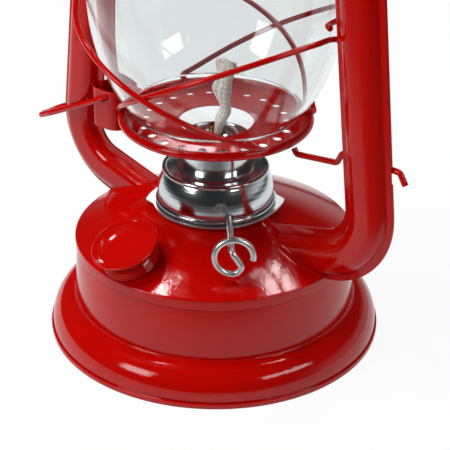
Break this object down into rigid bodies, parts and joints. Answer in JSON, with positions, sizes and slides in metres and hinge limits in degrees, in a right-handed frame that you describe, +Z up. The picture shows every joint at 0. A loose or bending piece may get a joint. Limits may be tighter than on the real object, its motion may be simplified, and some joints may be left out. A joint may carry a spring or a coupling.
{
  "type": "hurricane lantern",
  "caption": "Tubular oil lantern with flared tank, side air tubes, flat-wick burner with wire winder, lifting glass globe in crossed guard wires, hood and wire bail.",
  "frame": {"origin": "middle of the foot's resting plane, on the globe's axis", "axes": "+Z up, +X from the lever's tube to the link's tube, -Y the front with the filler cap"},
  "size_m": [0.2044, 0.15, 0.3131],
  "materials": {
    "red_enamel": "gloss",
    "nickel_plate": "polished",
    "zinc_plate": "satin",
    "brass": "satin",
    "cotton": "woven",
    "clear_glass": "clear gloss",
    "cork_rubber": "matt"
  },
  "bodies": {
    "frame": {"foot_skirt": "red_enamel", "tank_shell": "red_enamel", "tank_dome": "red_enamel", "filler_neck": "zinc_plate", "burner_seat": "nickel_plate", "left_tube_front": "red_enamel", "left_tube_rear": "red_enamel", "right_tube_front": "red_enamel", "right_tube_rear": "red_enamel", "lever_bracket": "red_enamel", "crown_pan": "red_enamel", "crown_cover": "red_enamel", "bail_ears": "red_enamel"},
    "burner": {"burner_shell": "nickel_plate", "burner_deck": "nickel_plate", "draught_neck": "nickel_plate", "burner_dome": "nickel_plate", "wick_tube": "brass", "shaft_bearer": "brass"},
    "winder": {"winder_shaft": "zinc_plate", "wick_wheels": "zinc_plate"},
    "wick": {"wick": "cotton"},
    "carriage": {"globe_plate": "red_enamel", "globe": "clear_glass", "guard_front_outer": "red_enamel", "guard_front_inner": "red_enamel", "guard_rear_outer": "red_enamel", "guard_rear_inner": "red_enamel"},
    "lever": {"lift_lever": "red_enamel"},
    "link": {"plate_link": "red_enamel"},
    "chimney": {"chimney_tube": "red_enamel", "globe_bell": "red_enamel", "hood": "red_enamel", "finger_loop": "red_enamel"},
    "bail": {"bail_handle": "zinc_plate"},
    "seal": {"cap_seal": "cork_rubber"},
    "cap": {"filler_cap": "red_enamel"}
  },
  "joints": [
    {"name": "bail_swing", "type": "hinge", "parent": "frame", "child": "bail", "pos_m": [0, 0, 0.236], "axis": [1, 0, 0], "range_deg": [0, 292]},
    {"name": "lever_press", "type": "hinge", "parent": "frame", "child": "lever", "pos_m": [-0.06028, 0, 0.0942], "axis": [0, -1, 0], "range_deg": [0, 22.93]},
    {"name": "globe_lift", "type": "slide", "parent": "frame", "child": "carriage", "axis": [0, 0, 1], "range_m": [0, 0.009]},
    {"name": "link_rock", "type": "hinge", "parent": "frame", "child": "link", "pos_m": [0.07879, 0, 0.1028], "axis": [0, 1, 0], "range_deg": [0, 13.52]},
    {"name": "chimney_lift", "type": "slide", "parent": "carriage", "child": "chimney", "axis": [0, 0, 1], "range_m": [0, 0.012]},
    {"name": "burner_turn", "type": "hinge", "parent": "frame", "child": "burner", "pos_m": [0, 0, 0.06], "axis": [0, 0, 1], "range_deg": [0, 20]},
    {"name": "winder_turn", "type": "hinge", "parent": "burner", "child": "winder", "pos_m": [0.00389, 0.00345, 0.0642], "axis": [-0.6639, 0.7478, 0], "range_deg": [-270, 45]},
    {"name": "wick_feed", "type": "slide", "parent": "burner", "child": "wick", "axis": [0, 0, 1], "range_m": [-0.0152, 0.0026]},
    {"name": "cap_rise", "type": "slide", "parent": "frame", "child": "seal", "axis": [-0.0207, -0.3949, 0.9185], "range_m": [0, 0.006]},
    {"name": "cap_turn", "type": "hinge", "parent": "seal", "child": "cap", "pos_m": [-0.00269, -0.05133, 0.04999], "axis": [-0.0207, -0.3949, 0.9185], "range_deg": [0, 1080]}
  ],
  "couplings": [
    {"joint": "lever_press", "follows": "globe_lift", "rad_per_m": 44.454},
    {"joint": "link_rock", "follows": "globe_lift", "rad_per_m": 26.205},
    {"joint": "wick_feed", "follows": "winder_turn", "m_per_rad": 0.0032},
    {"joint": "cap_rise", "follows": "cap_turn", "m_per_rad": 0.00031831}
  ]
}
